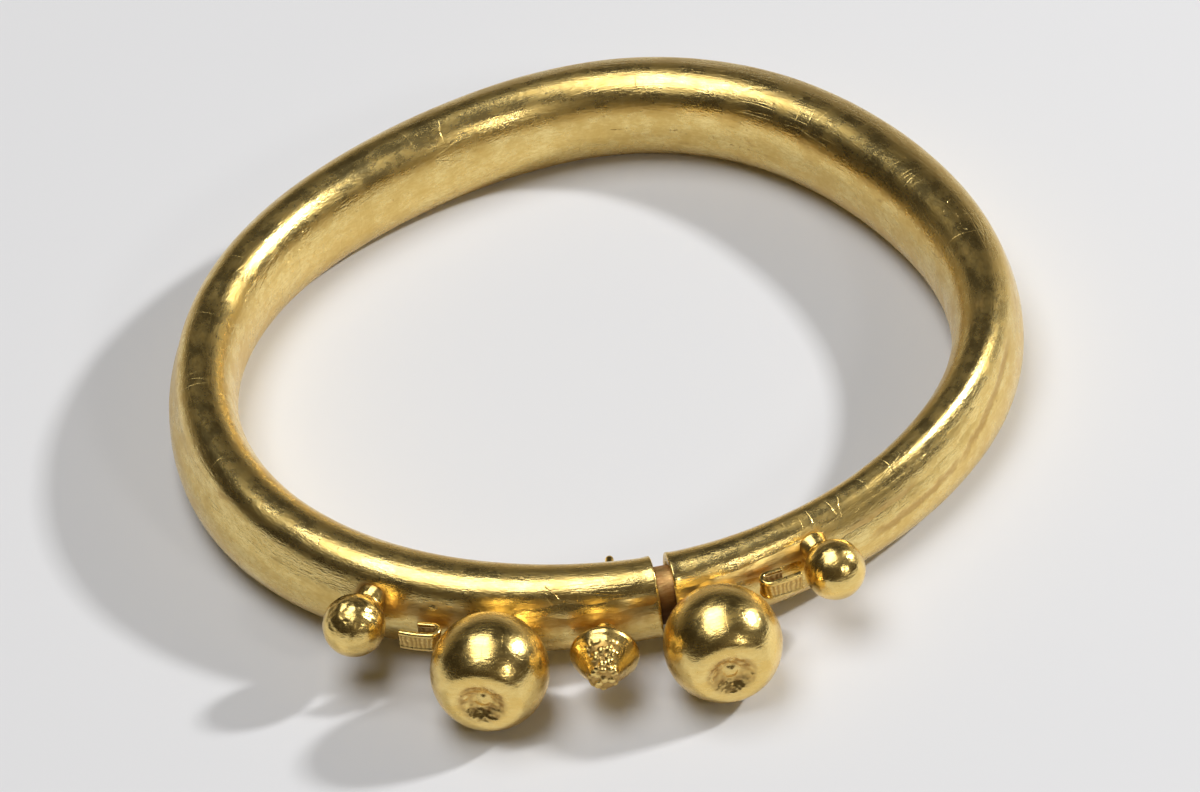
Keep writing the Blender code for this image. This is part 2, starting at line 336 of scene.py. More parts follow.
def makeLineGroup():
    group, given, result = newGroup("lineMark", (
        ("Place", "Vector", None), ("Middle", "Vector", None), ("Way", "Vector", None),
        ("Reach", "Float", 1.0 * mm), ("Width", "Float", 0.1 * mm)), (("Depth", "Float"),))
    wander = addNode(group, "ShaderNodeTexNoise")
    feed(group, wander.inputs["Vector"], given.outputs["Place"])
    wander.inputs["Scale"].default_value = lineWander["size"]
    wander = addVectorMath(group, "SUBTRACT", wander.outputs["Color"], (0.5, 0.5, 0.5), "Vector")
    wander = addVectorMath(group, "MULTIPLY", wander, (lineWander["reach"],) * 3, "Vector")
    apart = addVectorMath(group, "SUBTRACT", given.outputs["Place"], given.outputs["Middle"], "Vector")
    apart = addVectorMath(group, "ADD", apart, wander, "Vector")
    run = addVectorMath(group, "DOT_PRODUCT", apart, given.outputs["Way"], "Value")
    ahead = addNode(group, "ShaderNodeVectorMath", operation="SCALE")
    feed(group, ahead.inputs[0], given.outputs["Way"])
    feed(group, ahead.inputs["Scale"], run)
    across = addVectorMath(group, "SUBTRACT", apart, ahead.outputs["Vector"], "Vector")
    across = addVectorMath(group, "LENGTH", across, None, "Value")
    near = addRamp(group, across, addMath(group, "MULTIPLY", given.outputs["Width"], 0.3),
                   given.outputs["Width"], 1.0, 0.0)
    within = addRamp(group, addMath(group, "ABSOLUTE", run),
                     addMath(group, "MULTIPLY", given.outputs["Reach"], 0.6),
                     given.outputs["Reach"], 1.0, 0.0)
    group.links.new(addMath(group, "MULTIPLY", near, within), result.inputs["Depth"])
    return group


# Marks of rubbing along the tube: strongest on top and outside, round the back. Where they start and end
# along the tube, and how far out and up from its middle they set in
rubbed = {
    "starts": (66.0 * mm, 90.0 * mm), "ends": (134.0 * mm, 112.0 * mm),
    "outside": (-0.9 * mm, 0.1 * mm), "top": (1.5 * mm, 3.0 * mm), "stretch": 0.03, "elsewhere": 0.08,
}


def makeBrushGroup():
    group, given, result = newGroup("rubbedBack", (("Place", "Vector", None), ("Size", "Float", 7000.0)),
                                    (("Height", "Float"),))
    streaks = addNoise(group, addStretched(group, given.outputs["Place"], (rubbed["stretch"], 1.0, 1.0)),
                       given.outputs["Size"], 2.0, 0.6)
    parts = addNode(group, "ShaderNodeSeparateXYZ")
    feed(group, parts.inputs["Vector"], given.outputs["Place"])
    back = addMath(group, "MULTIPLY", addRamp(group, parts.outputs["X"], *rubbed["starts"]),
                   addRamp(group, parts.outputs["X"], *rubbed["ends"]))
    outside = addMath(group, "MULTIPLY", addRamp(group, parts.outputs["Y"], *rubbed["outside"]),
                      addRamp(group, parts.outputs["Z"], *rubbed["top"]))
    strength = addMath(group, "MULTIPLY_ADD", addMath(group, "MULTIPLY", back, outside),
                       1 - rubbed["elsewhere"], rubbed["elsewhere"])
    group.links.new(addMath(group, "MULTIPLY", streaks, strength), result.inputs["Height"])
    return group


# Small round pits, few and uneven
def makePitGroup():
    group, given, result = newGroup("wearPits", (("Place", "Vector", None), ("Size", "Float", 900.0)),
                                    (("Height", "Float"), ("Pits", "Float")))
    cells = addNode(group, "ShaderNodeTexVoronoi", feature="F1")
    feed(group, cells.inputs["Vector"], given.outputs["Place"])
    feed(group, cells.inputs["Scale"], given.outputs["Size"])
    few = addNoise(group, given.outputs["Place"], addMath(group, "MULTIPLY", given.outputs["Size"], 0.3))
    size = addRamp(group, few, 0.56, 0.8, 0.0, 0.35)
    depth = addRamp(group, cells.outputs["Distance"], 0.0, size, 1.0, 0.0)
    depth = addMath(group, "MULTIPLY", depth, addRamp(group, few, 0.58, 0.66))
    group.links.new(addMath(group, "SUBTRACT", 1.0, depth), result.inputs["Height"])
    group.links.new(depth, result.inputs["Pits"])
    return group


scratchGroup = makeScratchGroup()
hammerGroup = makeHammerGroup()
grainGroup = makeGrainGroup()
lineGroup = makeLineGroup()
brushGroup = makeBrushGroup()
pitGroup = makePitGroup()


def addGroup(tree, group, place, size):
    node = addNode(tree, "ShaderNodeGroup", node_tree=group)
    feed(tree, node.inputs["Place"], place)
    node.inputs["Size"].default_value = size
    return node


def addMix(tree, factor, first, second):
    node = addNode(tree, "ShaderNodeMix", data_type="RGBA")
    feed(tree, node.inputs[0], factor)
    feed(tree, node.inputs[6], first)
    feed(tree, node.inputs[7], second)
    return node.outputs[2]


def addBump(tree, height, strength, distance, normal=None):
    node = addNode(tree, "ShaderNodeBump")
    feed(tree, node.inputs["Height"], height)
    node.inputs["Strength"].default_value = strength
    node.inputs["Distance"].default_value = distance
    if normal is not None:
        tree.links.new(normal, node.inputs["Normal"])
    return node.outputs["Normal"]


dirtAndShadeLook = {"pits": 0.6, "lines": 0.5, "dulls": 0.2}   # how dark it is in each, and how far it dulls the gold
# Each gold's dark colour is mixed in for dirt and for painted shade
golds = {
    "hoopGold": {
        "pale": (0.96, 0.77, 0.33, 1.0), "deep": (0.74, 0.51, 0.15, 1.0), "shadeAndDirt": (0.42, 0.22, 0.06, 1.0),
        "roughness": (0.21, 0.35), "sheetSize": 900.0, "sheetDepth": 0.030 * mm,
        "grainSize": 5400.0, "grainDepth": 0.028 * mm, "specks": 0.6, "stain": 0.45,
        "scratchSize": 420.0, "scratchDepth": 0.012 * mm, "pitSize": 1100.0, "pitDepth": 0.02 * mm,
        "lineDepth": 0.04 * mm, "brushSize": 7000.0, "brushDepth": 0.042 * mm,
    },
    "ornamentGold": {
        "pale": (0.96, 0.74, 0.29, 1.0), "deep": (0.84, 0.58, 0.17, 1.0), "shadeAndDirt": (0.38, 0.21, 0.06, 1.0),
        "roughness": (0.18, 0.31), "sheetSize": 1300.0, "sheetDepth": 0.018 * mm,
        "grainSize": 4200.0, "grainDepth": 0.022 * mm, "specks": 0.5, "stain": 0.25,
        "scratchSize": 700.0, "scratchDepth": 0.004 * mm, "pitSize": 1500.0, "pitDepth": 0.012 * mm,
        "lineDepth": 0.0, "brushDepth": 0.0,
    },
    "redGold": {
        "pale": (0.95, 0.66, 0.26, 1.0), "deep": (0.58, 0.29, 0.10, 1.0), "shadeAndDirt": (0.07, 0.025, 0.012, 1.0),
        "roughness": (0.30, 0.55), "sheetSize": 1800.0, "sheetDepth": 0.07 * mm,
        "grainSize": 4200.0, "grainDepth": 0.04 * mm, "specks": 0.5, "stain": 0.6,
        "scratchSize": 700.0, "scratchDepth": 0.01 * mm, "pitSize": 1500.0, "pitDepth": 0.03 * mm,
        "lineDepth": 0.0, "brushDepth": 0.0,
    },
}

# Cracks, strips of painted shade and scratches on the hoop, in mm: how far along the tube, across and up from
# its middle, the way each runs in the same three, half its length, and its width
hoopCracksAndShade = (
    ((106.2, -3.69, 0.08), (1.0, 0.0, -0.05), 1.9, 0.06), ((101.8, -3.75, 0.17), (1.0, 0.0, 0.02), 1.1, 0.05),
    ((97.8, -3.82, -0.17), (1.0, 0.0, 0.09), 2.4, 0.06), ((91.4, -3.88, -0.60), (1.0, 0.0, -0.03), 2.3, 0.06),
    ((95.2, -3.85, 0.35), (1.0, 0.0, 0.3), 0.25, 0.14), ((94.5, -3.87, -0.17), (0.3, 0.0, 1.0), 0.20, 0.14),
    # painted shade: two dark streaks along the outside at the right front, standing in for a crease, then two
    # broad dark patches on the outer front, at the pin and by the left boss
    ((37.0, 2.88, 1.5), (1.0, 0.0, 0.22), 8.0, 0.60), ((24.5, 2.92, -0.1), (1.0, 0.0, 0.04), 7.0, 0.50),
    ((223.0, 3.20, 1.20), (1.0, 0.0, 0.0), 5.5, 1.90), ((208.0, 3.10, 1.30), (1.0, 0.0, 0.0), 5.0, 1.50),
    ((219.3, 1.50, 3.50), (1.5, 1.66, -0.87), 1.4, 0.07), ((220.4, 2.60, 2.60), (0.2, 0.6, -0.7), 0.6, 0.07),
)
hoopScratches = (
    ((62.0, -0.54, 4.95), (0.8, 0.6, 0.0), 1.3, 0.06), ((60.2, -0.10, 4.97), (1.0, 0.15, 0.0), 1.7, 0.05),
    ((58.4, -0.60, 4.97), (0.7, -0.7, 0.0), 1.2, 0.06), ((61.0, 1.20, 4.70), (1.0, -0.2, 0.0), 1.2, 0.05),
    ((192.4, 0.40, 4.65), (0.3, 0.9, 0.0), 0.7, 0.06), ((195.0, 0.70, 4.50), (0.2, 0.9, -0.1), 0.8, 0.06),
    ((197.6, 0.50, 4.42), (0.4, 0.9, -0.1), 0.9, 0.06), ((199.8, 0.90, 4.30), (0.3, 0.9, -0.2), 0.6, 0.06),
    ((211.0, 2.20, 3.00), (1.0, 0.3, -0.2), 2.4, 0.07), ((213.5, 2.60, 2.50), (1.0, 0.2, -0.2), 2.0, 0.07),
    ((23.5, -1.60, 3.30), (0.9, 0.4, 0.2), 0.9, 0.06), ((168.0, 1.70, 4.30), (0.9, -0.4, 0.1), 1.1, 0.06),
)


# The deepest of all the listed lines, cracks and strips of painted shade at each place
def addLines(tree, place, lines):
    deepest = None
    for middle, way, reach, width in lines:
        line = addNode(tree, "ShaderNodeGroup", node_tree=lineGroup)
        feed(tree, line.inputs["Place"], place)
        line.inputs["Middle"].default_value = [part * mm for part in middle]
        line.inputs["Way"].default_value = Vector(way).normalized()
        line.inputs["Reach"].default_value = reach * mm
        line.inputs["Width"].default_value = width * mm
        depth = line.outputs["Depth"]
        deepest = depth if deepest is None else addMath(tree, "MAXIMUM", deepest, depth)
    return deepest


def makeGold(name):
    plan = golds[name]
    material = bpy.data.materials.new(name)
    material.use_nodes = True
    tree = material.node_tree
    shader = tree.nodes["Principled BSDF"]
    shader.inputs["Metallic"].default_value = 1.0
    place = addNode(tree, "ShaderNodeAttribute", attribute_name="place").outputs["Vector"]
    shadeAndDirt = addNode(tree, "ShaderNodeAttribute", attribute_name="shadeAndDirt").outputs["Fac"]
    sheet = addGroup(tree, hammerGroup, place, plan["sheetSize"])
    grain = addGroup(tree, grainGroup, place, plan["grainSize"])
    scratches = addGroup(tree, scratchGroup, place, plan["scratchSize"])
    pits = addGroup(tree, pitGroup, place, plan["pitSize"])
    # Darkening towards the dark colour: dirt in pits, stains and cracks, painted shade from the listed strips,
    # and each piece's painted shade mask
    darkening = addMath(tree, "MAXIMUM", addMath(tree, "MULTIPLY", pits.outputs["Pits"], dirtAndShadeLook["pits"]),
                   addMath(tree, "MULTIPLY", sheet.outputs["Stain"], plan["stain"]))
    if plan["lineDepth"]:
        lines = addLines(tree, place, hoopCracksAndShade)
        darkening = addMath(tree, "MAXIMUM", darkening, addMath(tree, "MULTIPLY", lines, dirtAndShadeLook["lines"]))
        lines = addMath(tree, "MAXIMUM", lines, addLines(tree, place, hoopScratches))
    darkening = addMath(tree, "MAXIMUM", darkening, shadeAndDirt)
    colour = addMix(tree, sheet.outputs["Blotches"], plan["pale"], plan["deep"])
    specks = addMath(tree, "MULTIPLY", grain.outputs["Specks"], plan["specks"])
    colour = addMix(tree, specks, colour, plan["deep"])
    colour = addMix(tree, darkening, colour, plan["shadeAndDirt"])
    tree.links.new(colour, shader.inputs["Base Color"])
    low, high = plan["roughness"]
    rough = addRamp(tree, sheet.outputs["Blotches"], 0.0, 1.0, low, high)
    rough = addMath(tree, "MULTIPLY_ADD", darkening, dirtAndShadeLook["dulls"], rough)
    tree.links.new(rough, shader.inputs["Roughness"])
    normal = addBump(tree, sheet.outputs["Height"], 1.0, plan["sheetDepth"])
    normal = addBump(tree, grain.outputs["Height"], 1.0, plan["grainDepth"], normal)
    if plan["brushDepth"]:
        brushed = addGroup(tree, brushGroup, place, plan["brushSize"])
        normal = addBump(tree, brushed.outputs["Height"], 1.0, plan["brushDepth"], normal)
    normal = addBump(tree, scratches.outputs["Height"], 1.0, plan["scratchDepth"], normal)
    normal = addBump(tree, pits.outputs["Height"], 1.0, plan["pitDepth"], normal)
    if plan["lineDepth"]:
        normal = addBump(tree, addMath(tree, "SUBTRACT", 1.0, lines), 1.0, plan["lineDepth"], normal)
    tree.links.new(normal, shader.inputs["Normal"])
    return material


hoopGold = makeGold("hoopGold")
ornamentGold = makeGold("ornamentGold")
redGold = makeGold("redGold")
print("made the golds")


# The hoop: a hammered tube of sheet, with its wall to be seen at the two ends
hoop = {
    "gap": 1.4 * mm, "wall": 0.7 * mm, "rings": 940, "innerRings": 60, "points": 92,
    "rimRounding": 0.18 * mm, "lip": 0.08 * mm, "lipReach": 0.5 * mm,
    "inside": 0.03 * mm, "limitSoftness": 0.12 * mm,                 # clear of the solid's own box
    "rimSteps": (0.0, 0.15, 0.4, 0.7),                               # rings in the rounding of an end
    "swells": ((9.0, 0.13, 1), (3.4, 0.06, 2), (1.4, 0.018, 3)),     # size and depth in mm, seed
    "swellMiddle": 0.3, "swellContrast": 1.6,
    "lengthwise": 0.3,                                               # less makes the swells longer
    # flats, dents and bulges: direction and turn of the middle, reach each way in degrees, depth in mm
    "facets": ((-38, 44, 63, 36, 0.74), (184, 36, 71, 28, 0.54), (78, 46, 103, 18, -0.42),
               (-96, 17, 78, 32, 0.35),
               (169, 108, 3.0, 26, 0.12), (163, 96, 2.5, 20, -0.05),
               (262, 50, 2.4, 30, 0.08), (219, 80, 3.0, 24, 0.05), (60, 168, 12, 24, 0.10)),
}


# Length along the middle of the tube at each direction, from the first one
def lengthAlong(direction):
    steps = np.linalg.norm(np.diff(tubeMiddle(direction), axis=0), axis=1)
    return np.concatenate(((0.0,), np.cumsum(steps)))


def straightened(direction, turn):
    halfAcross, halfUp = tubeHalves(direction)
    along = np.broadcast_to(lengthAlong(direction[:, 0])[:, None], (len(direction), turn.shape[1]))
    return np.stack((along, halfAcross * np.cos(turn), halfUp * np.sin(turn)), -1)


def makeHoop():
    clasp = math.radians(tube["clasp"])
    half = hoop["gap"] / 2 / float(np.linalg.norm(tubeMiddle(np.array(clasp))[:2] - tube["middle"]))
    turn = (np.arange(hoop["points"]) / hoop["points"] * 2 * math.pi - math.pi / 2)[None, :]
    first, last = clasp + half, clasp + 2 * math.pi - half
    rounding = hoop["rimRounding"] / tube["hoopRadius"]
    edge = np.array(hoop["rimSteps"]) * rounding
    outer = np.concatenate((first + edge, np.linspace(first + rounding, last - rounding, hoop["rings"]),
                            (last - edge)[::-1]))[:, None]
    skin = tubePoint(outer, turn, 0.0)
    normals = gridNormals(skin)
    place = straightened(outer, turn)
    stretched = place * (hoop["lengthwise"], 1.0, 1.0) / mm
    sink = np.zeros(skin.shape[:2])
    for size, depth, seed in hoop["swells"]:
        swell = np.clip(noiseAt(stretched, size, seed) * hoop["swellContrast"], -1, 1)
        sink += depth * mm * 0.5 * (hoop["swellMiddle"] + swell)
    for middle, side, reach, spread, depth in hoop["facets"]:
        apart = np.degrees(outer) - middle
        apart = (apart + 180) % 360 - 180
        around = (np.degrees(turn) - side + 180) % 360 - 180
        sink += depth * mm * np.exp(-(apart / reach) ** 2 - (around / spread) ** 2)
    nearEnd = np.minimum(outer - first, last - outer)[:, 0] / rounding
    sink -= (hoop["lip"] * np.exp(-(nearEnd * hoop["rimRounding"] / hoop["lipReach"]) ** 2))[:, None]
    rim = hoop["rimRounding"] * (1 - np.sqrt(np.clip(1 - (1 - np.minimum(nearEnd, 1)) ** 2, 0, 1)))
    ring = len(outer) // 2
    if (normals[ring] * (skin[ring] - tubeMiddle(outer[ring]))).sum() < 0:
        normals = -normals
    skin = skin - normals * (hoop["inside"] + sink + rim[:, None])[..., None]
    skin[..., 2] = np.maximum(skin[..., 2], 0.0)
    for side in (0, 1):
        skin[..., side] = softMin(skin[..., side], cadBox[1][side] - hoop["inside"], hoop["limitSoftness"])
        skin[..., side] = softMax(skin[..., side], cadBox[0][side] + hoop["inside"], hoop["limitSoftness"])
    inner = np.linspace(last, first, hoop["innerRings"])[:, None]
    wall = tubePoint(inner, turn, -hoop["wall"])
    points = np.concatenate((skin, wall)).reshape(-1, 3)
    places = np.concatenate((place, straightened(inner, turn))).reshape(-1, 3)
    faces = ringFaces(len(outer) + len(inner), hoop["points"], closed=True)
    return newPiece("hoop_sheet", points, faces, places, hoopGold, "hoop")


makeHoop()

# The sleeve inside the two ends, seen in the gap
sleeve = {
    "length": 19.0 * mm, "wall": 0.6 * mm, "clearance": 0.35 * mm, "rings": 90, "points": 72,
    # painted shade on the sleeve where it shows in the gap: full up to just above the middle of the tube,
    # fading out by 3 mm above it
    "darkening": 0.9, "shadeFrom": 3.0 * mm, "shadeFull": 0.2 * mm,         # above the middle of the tube
}


def makeSleeve():
    clasp = math.radians(tube["clasp"])
    half = sleeve["length"] / 2 / float(np.linalg.norm(tubeMiddle(np.array(clasp))[:2] - tube["middle"]))
    turn = (np.arange(sleeve["points"]) / sleeve["points"] * 2 * math.pi - math.pi / 2)[None, :]
    outer = np.linspace(clasp - half, clasp + half, sleeve["rings"])[:, None]
    shrink = hoop["wall"] + sleeve["clearance"]
    skin = tubePoint(outer, turn, -shrink)
    wall = tubePoint(outer[::-1], turn, -shrink - sleeve["wall"])
    place = straightened(outer, turn)
    points = np.concatenate((skin, wall)).reshape(-1, 3)
    places = np.concatenate((place, place[::-1])).reshape(-1, 3)
    faces = ringFaces(2 * len(outer), sleeve["points"], closed=True)
    # Painted shade on the sleeve, darker lower down in the gap
    ownShadeAndDirt["sleeve_sheet"] = sleeve["darkening"] * smoothStep(
        points[:, 2], tube["level"] + sleeve["shadeFrom"], tube["level"] + sleeve["shadeFull"])
    return newPiece("sleeve_sheet", points, faces, places, redGold, "inner_sleeve")


makeSleeve()


def headingVector(degrees):
    return np.array((math.cos(math.radians(degrees)), math.sin(math.radians(degrees)), 0.0))


# Three axes for a piece whose own Z points along outward
def axesFor(outward):
    side = np.cross(up, outward)
    side = side / np.linalg.norm(side)
    return np.stack((side, np.cross(outward, side), outward))


# A closed shape spun from (radius, height) pairs, from the middle of the top to that of the bottom
def turnedGrid(outline, steps):
    angles = np.arange(steps) / steps * 2 * math.pi
    radius, height = np.array(outline)[:, 0:1], np.array(outline)[:, 1:2]
    return np.stack((radius * np.cos(angles), radius * np.sin(angles), height + 0 * angles), -1)


def cappedFaces(rows, count):
    faces = ringFaces(rows, count, closed=False)
    faces.append(tuple(range(count)))
    faces.append(tuple((rows - 1) * count + step for step in reversed(range(count))))
    return faces


# Points along a line of corners, close enough together to carry fine relief
def resampled(corners, step):
    points = [corners[0]]
    for start, end in zip(corners, corners[1:]):
        count = max(1, round(math.dist(start, end) / step))
        for part in range(count):
            points.append(tuple(np.array(start) + (np.array(end) - start) * (part + 1) / count))
    return points


def arcLine(radius, start, end, steps):
    return [(radius * math.sin(angle), radius * math.cos(angle)) for angle in np.linspace(start, end, steps)]


# Bosses: large balls, each with a rough dimple that holds a grain of gold
boss = {
    "radius": 5.28 * mm, "sink": 0.45 * mm, "fineness": 7, "inside": 0.03 * mm,
    "dentSize": 2.6, "dentDepth": 0.02 * mm,                 # every size of unevenness is in mm
    "flatHeight": 4.24 * mm, "flatSoftness": 0.42 * mm,      # the worn front round the dimple
    "dimpleRadius": 2.3 * mm, "dimpleFloor": 0.75 * mm, "dimpleDepth": 0.62 * mm, "dimpleRoughness": 0.10 * mm,
    "dimpleGrains": ((0.62, 4, 1.0), (0.3, 5, 0.6)),         # size, seed and share of each roughness
    "grainRadius": 0.85 * mm, "grainHeight": 0.24 * mm, "grainFoot": 0.1 * mm, "grainSoftness": 0.06 * mm,
    "solderReach": 0.5 * mm, "solderRise": 0.22 * mm, "solderInside": 0.3 * mm,
}
bossPlaces = {"left": (-106.4, -102.5, 1), "right": (-79.0, -84.0, 2)}   # direction, heading, seed


def makeBoss(side):
    direction, heading, seed = bossPlaces[side]
    direction = math.radians(direction)
    radius = boss["radius"]
    ball = bmesh.new()
    bmesh.ops.create_icosphere(ball, subdivisions=boss["fineness"], radius=1.0)
    ball.verts.ensure_lookup_table()
    unit = np.array([vertex.co[:] for vertex in ball.verts])
    faces = [tuple(vertex.index for vertex in face.verts) for face in ball.faces]
    ball.free()
    local = unit * radius
    fromAxis = np.hypot(local[:, 0], local[:, 1])
    dent = noiseAt(local / mm, boss["dentSize"], seed) * boss["dentDepth"]
    # the dimple, cut into the front along the boss's own Z
    inDimple = smoothStep(fromAxis, boss["dimpleRadius"] * 1.1, 0.8 * boss["dimpleRadius"])
    rough = sum(share * noiseAt(local / mm, size, seed + more) for size, more, share in boss["dimpleGrains"])
    rough = rough * boss["dimpleRoughness"] * inDimple
    floor = boss["flatHeight"] - boss["dimpleDepth"]
    slope = smoothStep(fromAxis, boss["dimpleFloor"], boss["dimpleRadius"])
    hollow = floor + boss["dimpleDepth"] * slope + rough
    dome = np.clip(1 - (fromAxis / boss["grainRadius"]) ** 2, 0, 1)
    grain = floor - boss["grainFoot"] + (boss["grainHeight"] + boss["grainFoot"]) * dome + rough * 0.4
    hollow = softMax(hollow, grain, boss["grainSoftness"])
    front = local[:, 2] > 0
    height = np.where(front, softMin(local[:, 2], hollow, boss["flatSoftness"]), local[:, 2])
    # Mottled darkening over the dimple, lighter on its grain and darker in the low spots of its roughness:
    # partly dirt in the hollow, partly painted shade
    mottled = 0.45 - 0.5 * noiseAt(local / mm, 0.5, seed + 8) - 0.35 * rough / boss["dimpleRoughness"]
    onGrain = smoothStep(fromAxis, boss["grainRadius"] * 1.1, boss["grainRadius"] * 0.7)
    ownShadeAndDirt["boss_" + side + "_ball"] = front * inDimple * np.clip(mottled, 0.1, 0.9) * (1 - 0.8 * onGrain)
    local = np.stack((local[:, 0], local[:, 1], height), -1) - unit * (boss["inside"] + dent)[:, None]
    rise = radius - tube["wornOff"] - tube["level"]
    reach = wallReach(direction, rise) + radius - boss["sink"]
    centre = tubeMiddle(np.array(direction)) + tubeOutward(np.array(direction)) * reach + up * rise
    axes = axesFor(headingVector(heading))
    points = local @ axes + centre
    # solder that runs out onto the tube
    outside = outsideTube(points)
    flare = boss["solderRise"] * np.clip(1 - outside / boss["solderReach"], 0, 1) ** 2
    flare *= (outside > -boss["solderInside"]) * (1 + 0.5 * noiseAt(local / mm, 1.0, seed + 7))
    points = points + (unit @ axes) * flare[:, None]
    points[:, 2] = np.maximum(points[:, 2], 0.0)
    return newPiece("boss_" + side + "_ball", points, faces, local, ornamentGold,
                    "boss_" + side)


for side in bossPlaces:
    makeBoss(side)

# Small balls on a short neck
ball = {
    "sink": 0.3 * mm, "neckRadius": 1.3 * mm, "neckLength": 0.9 * mm, "steps": 120, "rows": 90,
    "inside": 0.05, "lumpSize": 2.0, "lumpDepth": 0.05, "foldReach": 1.6,     # in mm
}
# radius, direction, rise above the tube's middle, seed, depth of the folds on its upper side
ballPlaces = {
    "left": (2.9 * mm, -123.6, 1.3 * mm, 11, 0.08 * mm),
    "right": (2.8 * mm, -62.0, 1.45 * mm, 12, 0.04 * mm),
}


def makeBall(side):
    radius, direction, rise, seed, foldDepth = ballPlaces[side]
    direction = math.radians(direction)
    neckTurn = math.pi - math.asin(ball["neckRadius"] / radius)
    outline = arcLine(radius, 0.01, neckTurn - 0.12, ball["rows"])
    outline += resampled([(ball["neckRadius"] * 1.02, radius * math.cos(neckTurn) - 0.12 * mm),
                          (ball["neckRadius"] * 1.25, -(radius + ball["neckLength"]))], 0.08 * mm)
    grid = turnedGrid(outline, ball["steps"])
    normals = gridNormals(grid)
    if (normals[20] * grid[20]).sum() < 0:
        normals = -normals
    lumps = 0.5 + 0.5 * noiseAt(grid / mm, ball["lumpSize"], seed)
    folds = noiseAt(grid / mm * (1.0, 0.5, 0.8), 0.9, seed + 3)
    folds = folds + 0.5 * noiseAt(grid / mm * (1.0, 0.5, 1.0), 0.42, seed + 5)
    folded = smoothStep(grid[..., 1] / mm, 0.0, ball["foldReach"]) * foldDepth
    sink = (ball["inside"] + ball["lumpDepth"] * lumps) * mm + folded * (0.4 + folds)
    grid = grid - normals * sink[..., None]
    outward = tubeOutward(np.array(direction))
    reach = wallReach(direction, rise) + radius - ball["sink"]
    centre = tubeMiddle(np.array(direction)) + outward * reach + up * rise
    points = grid.reshape(-1, 3) @ axesFor(outward) + centre
    return newPiece("ball_" + side + "_bead", points, cappedFaces(len(outline), ball["steps"]),
                    grid.reshape(-1, 3), ornamentGold, "ball_" + side)


for side in ballPlaces:
    makeBall(side)

# The pin through the left end: a double cone with a rough end for a head, and a thin shaft
pin = {
    "direction": -92.0, "heading": -96.0, "shaftRadius": 0.4 * mm, "tipReach": 2.6 * mm,
    "headRadius": 3.2 * mm, "neckRadius": 1.1 * mm, "coneLength": 2.8 * mm,
    "endRadius": 1.45 * mm, "endLength": 0.4 * mm, "clear": 0.3 * mm, "steps": 200, "rowStep": 0.06 * mm,
    "lumps": 0.2 * mm, "lumpSize": 1.5, "granule": 0.66 * mm, "granuleRise": 0.2 * mm,
    "granuleReach": 2.9 * mm, "darkening": 0.7,
}


# Round grains packed at random, from 0 between them to 1 on top of each
def grainsAt(places, size):
    flat = (places / size).reshape(-1, 3).tolist()
    apart = np.array([noise.voronoi(Vector(place))[0][0] for place in flat]).reshape(places.shape[:-1])
    return np.sqrt(np.clip(1 - (apart / 0.6) ** 2, 0, 1))


def makePin():
    direction = math.radians(pin["direction"])
    wall = float(tubeHalves(np.array(direction))[0])
    neck = wall + pin["clear"]
    ridge = neck + pin["coneLength"]
    end = ridge + pin["coneLength"]
    tip = -(wall + pin["tipReach"])
    corners = [(0.02 * mm, end + pin["endLength"]), (pin["endRadius"] * 0.75, end + pin["endLength"]),
               (pin["endRadius"], end + pin["endLength"] * 0.4), (pin["endRadius"], end),
               (pin["headRadius"] * 0.97, ridge + 0.35 * mm), (pin["headRadius"], ridge + 0.05 * mm),
               (pin["headRadius"] * 0.985, ridge - 0.25 * mm), (pin["neckRadius"], neck),
               (pin["shaftRadius"], neck - 0.1 * mm), (pin["shaftRadius"], tip + 0.3 * mm),
               (pin["shaftRadius"] * 0.8, tip + 0.08 * mm), (0.02 * mm, tip)]
    outline = resampled(corners, pin["rowStep"])
    grid = turnedGrid(outline, pin["steps"])
    normals = gridNormals(grid)
    middle = np.argmax(np.array(outline)[:, 0])
    if (normals[middle] * grid[middle])[:, :2].sum() < 0:
        normals = -normals
    height = grid[..., 2]
    fromAxis = np.hypot(grid[..., 0], grid[..., 1])
    onHead = height > neck
    lumps = (0.5 + 0.5 * noiseAt(grid / mm, pin["lumpSize"], 21)) * pin["lumps"]
    lumps = lumps * smoothStep(fromAxis, 0.0, 0.3 * mm)
    # granules down the upper side of the front cone and over the end
    strip = smoothStep(grid[..., 1] / np.maximum(fromAxis, 0.01 * mm), 0.7, 0.92)
    strip = strip * smoothStep(fromAxis, pin["granuleReach"], pin["granuleReach"] - 0.5 * mm)
    strip = np.maximum(strip, smoothStep(fromAxis, pin["endRadius"] * 1.15, pin["endRadius"] * 0.9))
    strip = strip * (height > ridge)
    granules = grainsAt(grid, pin["granule"]) * strip
    grid = grid + normals * (onHead * (pin["granuleRise"] * granules - lumps))[..., None]
    # Painted shade in the hollows between the granules on the pin's head
    ownShadeAndDirt["clasp_pin_head"] = (pin["darkening"] * strip * (1 - granules) * onHead).ravel()
    centre = tubeMiddle(np.array(direction))
    points = grid.reshape(-1, 3) @ axesFor(headingVector(pin["heading"])) + centre
    return newPiece("clasp_pin_head", points, cappedFaces(len(outline), pin["steps"]),
                    grid.reshape(-1, 3), ornamentGold, "clasp_pin")


makePin()

# Strip loops: a ribbed strip with plain rims, folded into a U
loop = {
    "height": 2.0 * mm, "thickness": 0.5 * mm, "slot": 0.9 * mm, "outerArm": 2.7 * mm, "innerArm": 1.4 * mm,
    "clear": 0.3 * mm, "rimRadius": 0.245 * mm, "band": 0.12 * mm, "ribPitch": 0.42 * mm, "ribRise": 0.08 * mm,
    "bow": 0.10 * mm, "rowStep": 0.06 * mm, "straySize": 0.9 * mm,
    # painted shade in the grooves between the ribs, on the lower half of the front and in the slot
    "ribShade": 0.8, "lowerShade": 0.35, "slotShade": 0.95,
}
loopPlaces = {"left": (-114.5, 0.4 * mm, -1), "right": (-70.6, 1.7 * mm, 1)}   # direction, rise, way


